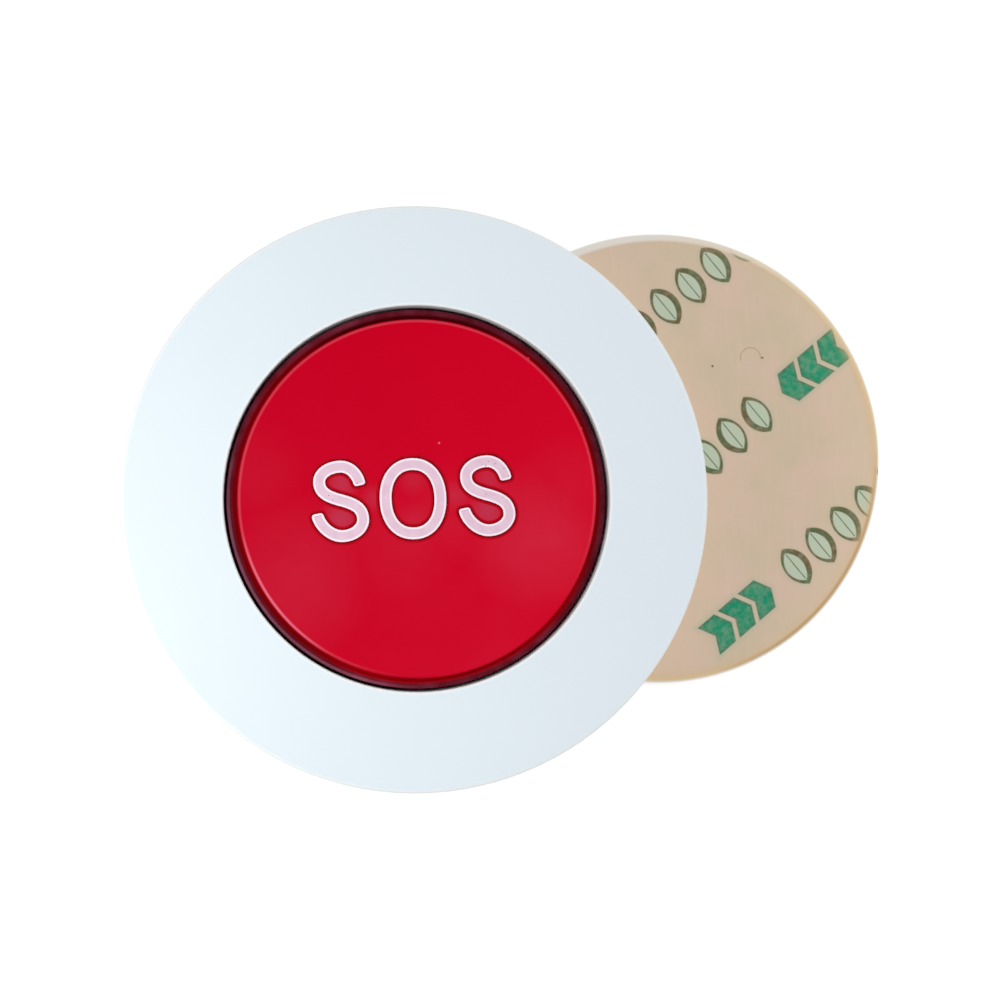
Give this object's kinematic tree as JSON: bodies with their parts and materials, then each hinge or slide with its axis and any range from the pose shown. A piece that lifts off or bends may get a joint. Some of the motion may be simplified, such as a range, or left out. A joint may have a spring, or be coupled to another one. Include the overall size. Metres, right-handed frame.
{
  "type": "wireless panic button",
  "caption": "Round wall-mount call button: a red push cap in a flat white disc housing, lying on its round adhesive pad.",
  "frame": {"origin": "centre of the adhesive pad's underside, on the surface that the pad lies on", "axes": "+Z out of the button's face; +X to the right across the face, from the housing towards the pad; +Y up the face"},
  "size_m": [0.0831, 0.06, 0.0168],
  "materials": {
    "white_shell": "satin moulded, cool white",
    "red_cap": "satin moulded, signal red",
    "seal_rubber": "soft grey rubber",
    "steel_screw": "zinc plated",
    "spring_steel": "drawn wire",
    "board_laminate": "solder mask green",
    "black_plastic": "moulded black",
    "sheet_steel": "plated sheet",
    "chip_ceramic": "matt ceramic",
    "copper_wire": "enamelled copper",
    "cell_steel": "polished can",
    "foam_tape": "tacky foam",
    "liner_paper": "waxed release paper"
  },
  "bodies": {
    "unit": {"front_housing": "white_shell", "back_cover": "white_shell", "cover_seal": "seal_rubber", "cover_screws": "steel_screw", "board_screws": "steel_screw", "return_spring": "spring_steel", "circuit_board": "board_laminate", "switch_base": "black_plastic", "switch_cover": "sheet_steel", "switch_pins": "sheet_steel", "encoder_chip": "black_plastic", "saw_resonator": "sheet_steel", "transistor": "black_plastic", "chip_resistors": "chip_ceramic", "chip_capacitors": "chip_ceramic", "antenna_wire": "copper_wire", "battery_holder": "black_plastic", "battery_clip": "sheet_steel", "battery_contact": "sheet_steel", "coin_cell": "cell_steel", "adhesive_pad": "foam_tape", "pad_front_liner": "liner_paper", "pad_rear_liner": "liner_paper"},
    "button": {"button_cap": "red_cap"},
    "plunger": {"switch_plunger": "black_plastic"}
  },
  "joints": [
    {"name": "button_press", "type": "slide", "parent": "unit", "child": "button", "axis": [0, 0, -1], "range_m": [0, 0.0008], "stiffness_N_per_m": 1500, "springref_m": -0.001, "deforming": ["return_spring"]},
    {"name": "plunger_travel", "type": "slide", "parent": "unit", "child": "plunger", "axis": [0, 0, -1], "range_m": [0, 0.0008]}
  ],
  "couplings": [
    {"joint": "plunger_travel", "follows": "button_press", "ratio": 1}
  ]
}
